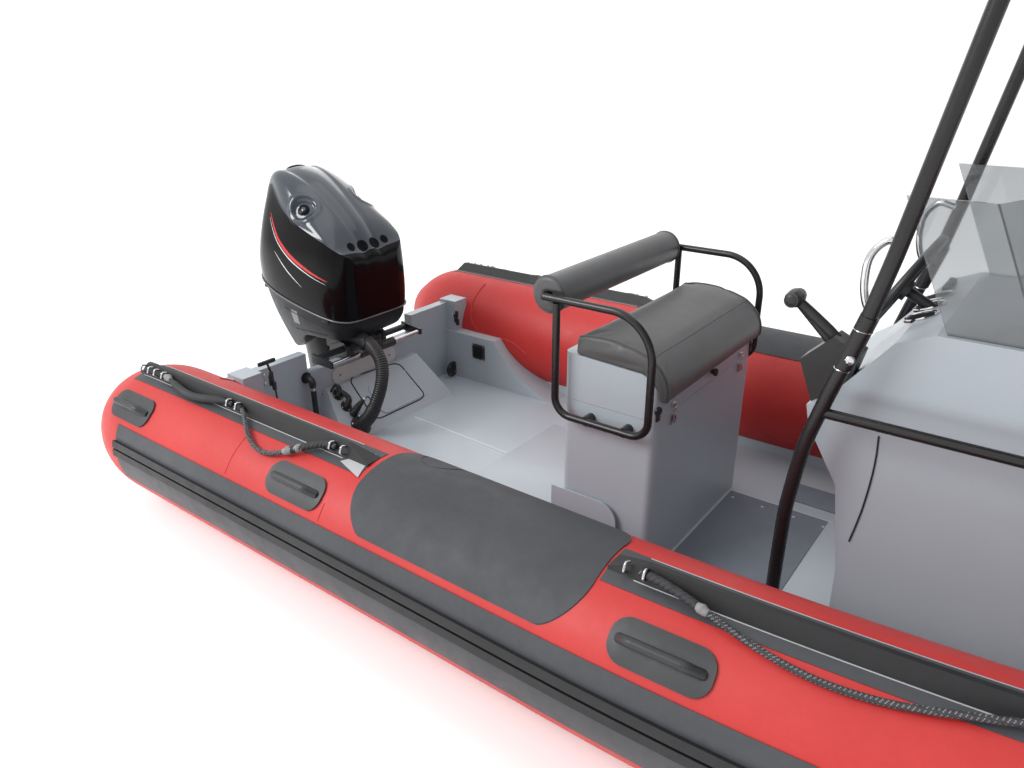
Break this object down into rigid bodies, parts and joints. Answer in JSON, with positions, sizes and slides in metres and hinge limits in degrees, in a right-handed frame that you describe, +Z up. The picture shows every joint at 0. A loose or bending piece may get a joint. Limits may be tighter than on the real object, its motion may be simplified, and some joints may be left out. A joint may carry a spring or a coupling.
{
  "type": "inflatable rib boat",
  "caption": "Rigid inflatable boat with a deep-vee hull, grey buoyancy tubes, jockey seat, steering console, T-top and an outboard motor that tilts and steers.",
  "frame": {"origin": "on the centreline, at the front face of the transom, at the height of the still waterline", "axes": "+X towards the bow, +Y to port, +Z up"},
  "size_m": [6.6588, 2.5138, 2.7083],
  "materials": {
    "tube_fabric": "matt coated cloth, red",
    "strake_grey": "satin, charcoal",
    "rail_black": "satin",
    "strip_grey": "matt, charcoal",
    "pad_rubber": "textured",
    "handle_black": "satin",
    "gelcoat_grey": "gelcoat, glossy",
    "pale_plate": "satin",
    "frame_tube": "satin powder coat",
    "upholstery": "matt vinyl",
    "clear_screen": "clear, tinted",
    "black_plastic": "matt",
    "chrome_steel": "polished",
    "motor_paint": "gloss paint",
    "motor_metal": "gloss paint",
    "engine_metal": "raw",
    "bracket_metal": "satin paint",
    "steel": "ground",
    "rope_black": "braided",
    "hose_black": "corrugated",
    "canopy_cloth": "coated cloth"
  },
  "bodies": {
    "hull": {"backrest_roll": "upholstery", "bow_locker": "gelcoat_grey", "clamp_brackets": "bracket_metal", "console_shell": "gelcoat_grey", "control_box": "black_plastic", "drain_elbow": "pale_plate", "drain_hose": "hose_black", "grab_handles": "handle_black", "hull": "gelcoat_grey", "line_aft_port": "rope_black", "line_aft_starboard": "rope_black", "line_eyes": "chrome_steel", "line_fore_port": "rope_black", "line_fore_starboard": "rope_black", "line_middle_port": "rope_black", "line_middle_starboard": "rope_black", "rail_strips": "strip_grey", "rigging_box": "gelcoat_grey", "rigging_hose": "hose_black", "rub_strake": "strake_grey", "seat_box": "gelcoat_grey", "seat_fences": "pale_plate", "seat_hoops": "frame_tube", "shoulder_port": "tube_fabric", "shoulder_starboard": "tube_fabric", "side_locker_port": "gelcoat_grey", "side_locker_starboard": "gelcoat_grey", "steering_column": "black_plastic", "step_pads": "pad_rubber", "strake_ribs": "rail_black", "top_canopy": "canopy_cloth", "top_frame": "frame_tube", "transom": "gelcoat_grey", "transom_pad": "pale_plate", "tube_bow": "tube_fabric", "tube_port": "tube_fabric", "tube_rails": "rail_black", "tube_starboard": "tube_fabric", "windscreen": "clear_screen"},
    "swivel": {"swivel_bracket": "bracket_metal", "steering_rod": "steel"},
    "steering_ram": {"steering_cylinder": "steel"},
    "motor": {"motor_cowl": "motor_paint", "engine_block": "engine_metal", "motor_pan": "motor_paint", "motor_leg": "motor_metal"},
    "propeller": {"propeller": "motor_metal"},
    "helm": {"steering_wheel": "black_plastic"},
    "seat_top": {"seat_lid": "gelcoat_grey", "seat_cushion": "upholstery"},
    "bow_hatch": {"bow_locker_lid": "gelcoat_grey"},
    "console_hatch": {"console_door": "gelcoat_grey"}
  },
  "joints": [
    {"name": "motor_tilt", "type": "hinge", "parent": "hull", "child": "swivel", "pos_m": [0.005, 0, 0.44], "axis": [0, 1, 0], "range_deg": [0, 65], "deforming": ["rigging_hose"]},
    {"name": "motor_steer", "type": "hinge", "parent": "swivel", "child": "motor", "pos_m": [-0.15, 0, 0.44], "axis": [0, 0, 1], "range_deg": [-30, 30], "deforming": ["rigging_hose"]},
    {"name": "propeller_spin", "type": "hinge", "parent": "motor", "child": "propeller", "pos_m": [-0.599, 0, -0.438], "axis": [1, 0, 0], "continuous": true},
    {"name": "steering_ram_slide", "type": "slide", "parent": "swivel", "child": "steering_ram", "axis": [0, 1, 0], "range_m": [-0.124, 0.124]},
    {"name": "wheel_turn", "type": "hinge", "parent": "hull", "child": "helm", "pos_m": [2.395, 0, 1.13], "axis": [-0.8829, 0, 0.4695], "range_deg": [-760, 760]},
    {"name": "seat_lid_hinge", "type": "hinge", "parent": "hull", "child": "seat_top", "pos_m": [1.468, 0, 0.6755], "axis": [0, -1, 0], "range_deg": [0, 38]},
    {"name": "bow_lid_hinge", "type": "hinge", "parent": "hull", "child": "bow_hatch", "pos_m": [4.93747, 0, 0.325], "axis": [0, 1, 0], "range_deg": [0, 85]},
    {"name": "console_door_hinge", "type": "hinge", "parent": "hull", "child": "console_hatch", "pos_m": [3.027, -0.207, 0.501], "axis": [0, 0, -1], "range_deg": [0, 100]}
  ],
  "couplings": [
    {"joint": "steering_ram_slide", "follows": "motor_steer", "m_per_rad": 0.235},
    {"joint": "wheel_turn", "follows": "motor_steer", "ratio": 25}
  ]
}
